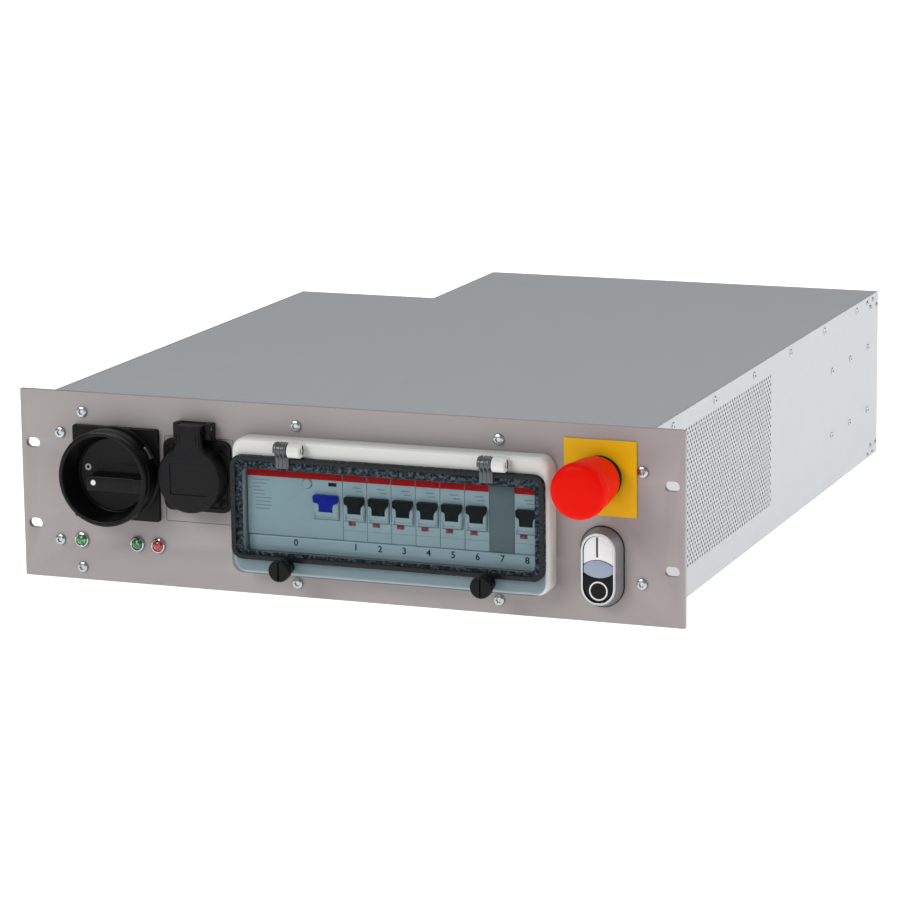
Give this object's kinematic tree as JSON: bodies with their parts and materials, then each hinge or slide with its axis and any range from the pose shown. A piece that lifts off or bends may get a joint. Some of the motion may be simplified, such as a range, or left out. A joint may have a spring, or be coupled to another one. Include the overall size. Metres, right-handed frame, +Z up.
{
  "type": "rack power distribution unit",
  "caption": "Rack power distribution unit: main rotary switch, lidded service socket, clear hinged window over breakers, emergency stop, twin pushbutton and lamps on a 3U panel.",
  "frame": {"origin": "middle of the bounding box's bottom face, level with the front panel's lower edge", "axes": "+Z up, -Y towards the front panel's face, +X to the right seen from the front"},
  "size_m": [0.4826, 0.6328, 0.1326],
  "materials": {
    "panel_grey": "fine powder coat, warm grey",
    "sheet_grey": "pale grey sheet steel, satin",
    "housing_grey": "light grey moulded plastic",
    "breaker_white": "off-white moulded plastic with a red band",
    "blank_grey": "mid grey moulded plastic",
    "black_plastic": "black moulded plastic, satin",
    "soft_black": "black foam and moulded parts, dull",
    "blue_plastic": "blue moulded plastic",
    "signal_red": "signal red moulded plastic",
    "signal_yellow": "signal yellow plate",
    "bright_metal": "zinc plated and bright metal",
    "white_plastic": "white moulded plastic",
    "lens_blue": "pale blue grey diffusing lens",
    "lens_green": "green lens in a bright bezel",
    "lens_red": "red lens in a bright bezel",
    "clear_pane": "clear plastic with a faint teal tint",
    "smoky_plastic": "smoky translucent plastic"
  },
  "bodies": {
    "chassis": {"front_panel": "panel_grey", "bottom_tray": "sheet_grey", "front_top_rail": "sheet_grey", "top_cover": "sheet_grey", "side_panel_left": "sheet_grey", "side_panel_right": "sheet_grey", "notch_side_panel": "sheet_grey", "notch_rear_panel": "sheet_grey", "rear_panel": "sheet_grey", "outlet_strip": "black_plastic", "cable_gland": "black_plastic", "switch_plate": "black_plastic", "socket_flange": "black_plastic", "din_rail": "bright_metal", "rail_bracket_left": "bright_metal", "rail_bracket_right": "bright_metal", "lid_pin": "bright_metal", "hinge_pin_left": "bright_metal", "hinge_pin_right": "bright_metal", "button_unit": "bright_metal", "contactor": "soft_black", "switch_body": "soft_black", "estop_body": "soft_black", "terminal_block": "blank_grey", "blank_module": "blank_grey", "rcd_body": "breaker_white", "breaker_body_1": "breaker_white", "breaker_body_2": "breaker_white", "breaker_body_3": "breaker_white", "breaker_body_4": "breaker_white", "breaker_body_5": "breaker_white", "breaker_body_6": "breaker_white", "service_breaker_body": "breaker_white", "label_strip": "white_plastic", "window_housing": "housing_grey", "estop_plate": "signal_yellow", "indicator_lens": "lens_blue", "lamp_supply": "lens_green", "lamp_power": "lens_green", "lamp_error": "lens_red"},
    "main_switch": {"main_switch_knob": "black_plastic"},
    "socket_lid": {"socket_lid": "black_plastic"},
    "window": {"window_pane": "clear_pane", "window_gasket": "soft_black", "hinge_strap_left": "smoky_plastic", "hinge_strap_right": "smoky_plastic"},
    "thumb_screw_left": {"thumb_screw_left": "black_plastic"},
    "thumb_screw_right": {"thumb_screw_right": "black_plastic"},
    "rcd_lever": {"rcd_lever": "blue_plastic"},
    "rcd_test": {"rcd_test_button": "white_plastic"},
    "estop": {"estop_mushroom": "signal_red"},
    "on_button": {"on_button": "white_plastic"},
    "off_button": {"off_button": "black_plastic"},
    "service_lever": {"service_breaker_lever": "black_plastic"},
    "lever_1": {"breaker_lever_1": "black_plastic"},
    "lever_2": {"breaker_lever_2": "black_plastic"},
    "lever_3": {"breaker_lever_3": "black_plastic"},
    "lever_4": {"breaker_lever_4": "black_plastic"},
    "lever_5": {"breaker_lever_5": "black_plastic"},
    "lever_6": {"breaker_lever_6": "black_plastic"}
  },
  "joints": [
    {"name": "main_switch_turn", "type": "hinge", "parent": "chassis", "child": "main_switch", "pos_m": [-0.1679, -0.27835, 0.07777], "axis": [0, 1, 0], "range_deg": [0, 90]},
    {"name": "socket_lid_swing", "type": "hinge", "parent": "chassis", "child": "socket_lid", "pos_m": [-0.1063, -0.27365, 0.11417], "axis": [-1, 0, 0], "range_deg": [0, 100], "stiffness_Nm_per_rad": 0.02, "springref_deg": -28.65},
    {"name": "window_swing", "type": "hinge", "parent": "chassis", "child": "window", "pos_m": [0, -0.28695, 0.10627], "axis": [-1, 0, 0], "range_deg": [0, 110]},
    {"name": "thumb_screw_left_turn", "type": "hinge", "parent": "window", "child": "thumb_screw_left", "pos_m": [-0.034, -0.28455, 0.02527], "axis": [0, -1, 0], "range_deg": [0, 90]},
    {"name": "thumb_screw_right_turn", "type": "hinge", "parent": "window", "child": "thumb_screw_right", "pos_m": [0.1107, -0.28455, 0.02527], "axis": [0, -1, 0], "range_deg": [0, 90]},
    {"name": "rcd_lever_throw", "type": "hinge", "parent": "chassis", "child": "rcd_lever", "pos_m": [-0.00815, -0.26535, 0.06488], "axis": [1, 0, 0], "range_deg": [0, 40]},
    {"name": "rcd_test_press", "type": "slide", "parent": "chassis", "child": "rcd_test", "axis": [0, 1, 0], "range_m": [0, 0.001], "stiffness_N_per_m": 400},
    {"name": "estop_press", "type": "slide", "parent": "chassis", "child": "estop", "axis": [0, 1, 0], "range_m": [0, 0.003]},
    {"name": "on_button_press", "type": "slide", "parent": "chassis", "child": "on_button", "axis": [0, 1, 0], "range_m": [0, 0.003], "stiffness_N_per_m": 400},
    {"name": "off_button_press", "type": "slide", "parent": "chassis", "child": "off_button", "axis": [0, 1, 0], "range_m": [0, 0.003], "stiffness_N_per_m": 400},
    {"name": "lever_1_throw", "type": "hinge", "parent": "chassis", "child": "lever_1", "pos_m": [0.0125, -0.26535, 0.06488], "axis": [1, 0, 0], "range_deg": [0, 40]},
    {"name": "lever_2_throw", "type": "hinge", "parent": "chassis", "child": "lever_2", "pos_m": [0.03, -0.26535, 0.06488], "axis": [1, 0, 0], "range_deg": [0, 40]},
    {"name": "lever_3_throw", "type": "hinge", "parent": "chassis", "child": "lever_3", "pos_m": [0.0475, -0.26535, 0.06488], "axis": [1, 0, 0], "range_deg": [0, 40]},
    {"name": "lever_4_throw", "type": "hinge", "parent": "chassis", "child": "lever_4", "pos_m": [0.065, -0.26535, 0.06488], "axis": [1, 0, 0], "range_deg": [0, 40]},
    {"name": "lever_5_throw", "type": "hinge", "parent": "chassis", "child": "lever_5", "pos_m": [0.0825, -0.26535, 0.06488], "axis": [1, 0, 0], "range_deg": [0, 40]},
    {"name": "lever_6_throw", "type": "hinge", "parent": "chassis", "child": "lever_6", "pos_m": [0.1, -0.26535, 0.06488], "axis": [1, 0, 0], "range_deg": [0, 40]},
    {"name": "service_lever_throw", "type": "hinge", "parent": "chassis", "child": "service_lever", "pos_m": [0.135, -0.26535, 0.06488], "axis": [1, 0, 0], "range_deg": [0, 40]}
  ]
}
